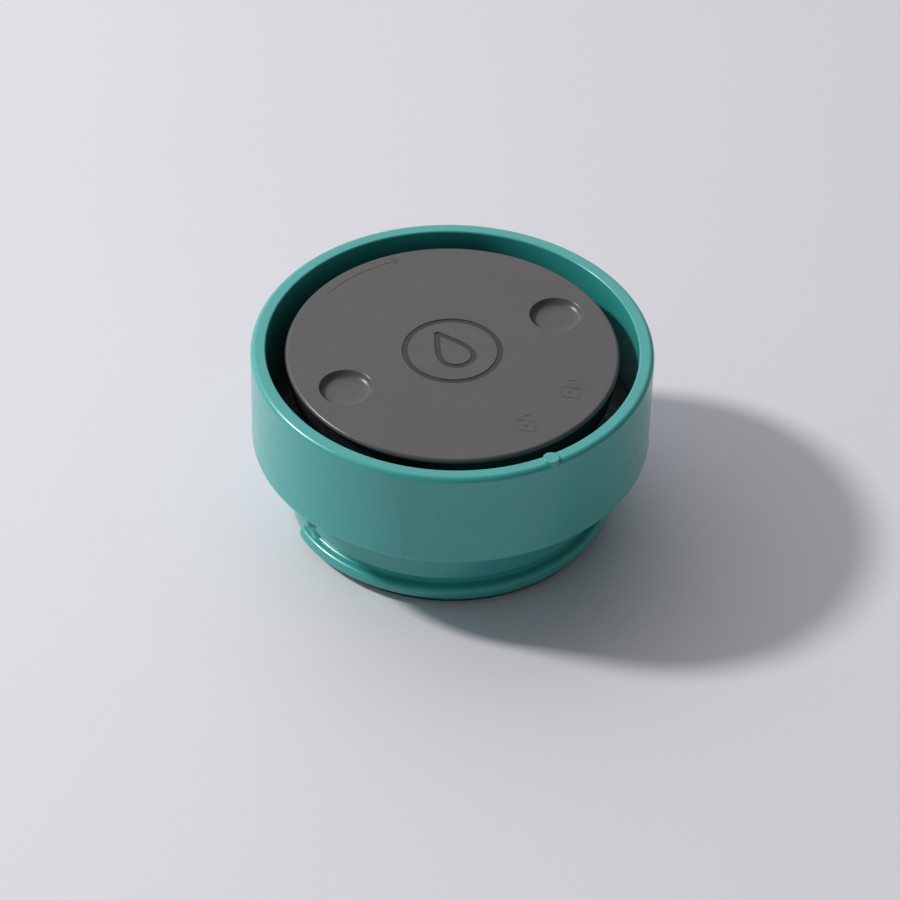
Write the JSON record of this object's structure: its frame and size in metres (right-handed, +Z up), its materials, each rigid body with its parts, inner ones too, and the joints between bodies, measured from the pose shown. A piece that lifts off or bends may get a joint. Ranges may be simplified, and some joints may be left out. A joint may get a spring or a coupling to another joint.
{
  "type": "travel cup lid",
  "caption": "Round screw-in drinking lid with a central push button that opens a ring-shaped valve and lets one drink from any side.",
  "frame": {"origin": "on the lid's axis at the underside of the neck seal, where the lid rests on a table", "axes": "+Z up along the lid's axis, out of the drinking rim; -Y towards the side the lock symbols face"},
  "size_m": [0.088, 0.088, 0.0439],
  "materials": {
    "teal_shell": "satin teal polypropylene",
    "button_grey": "matte dark grey",
    "dark_inner_plastic": "matte charcoal",
    "natural_plastic": "natural acetal",
    "dark_silicone": "dark grey silicone",
    "grey_silicone": "grey silicone",
    "spring_steel": "stainless spring wire"
  },
  "bodies": {
    "lid": {"lid_shell": "teal_shell", "cup_seal": "dark_silicone", "hub_insert": "dark_inner_plastic", "insert_seal": "dark_silicone", "click_sleeve": "natural_plastic", "hub_cap": "dark_inner_plastic", "return_spring": "spring_steel", "stem_seal": "dark_silicone"},
    "plunger": {"plunger_stem": "natural_plastic", "rotor_clip": "spring_steel", "valve_plate": "dark_inner_plastic", "valve_seal": "grey_silicone"},
    "rotor": {"click_rotor": "natural_plastic"},
    "button": {"button_cap": "button_grey", "button_base": "dark_inner_plastic"}
  },
  "joints": [
    {"name": "press", "type": "slide", "parent": "lid", "child": "plunger", "axis": [0, 0, -1], "range_m": [0, 0.004], "stiffness_N_per_m": 800, "springref_m": -0.004, "deforming": ["return_spring"]},
    {"name": "rotor_turn", "type": "hinge", "parent": "plunger", "child": "rotor", "pos_m": [0, 0, 0.0267], "axis": [0, 0, 1], "range_deg": [0, 45]},
    {"name": "button_twist", "type": "hinge", "parent": "plunger", "child": "button", "pos_m": [0, 0, 0.0386], "axis": [0, 0, 1], "range_deg": [-30, 0]}
  ],
  "couplings": [
    {"joint": "rotor_turn", "follows": "press", "rad_per_m": 196.35}
  ]
}
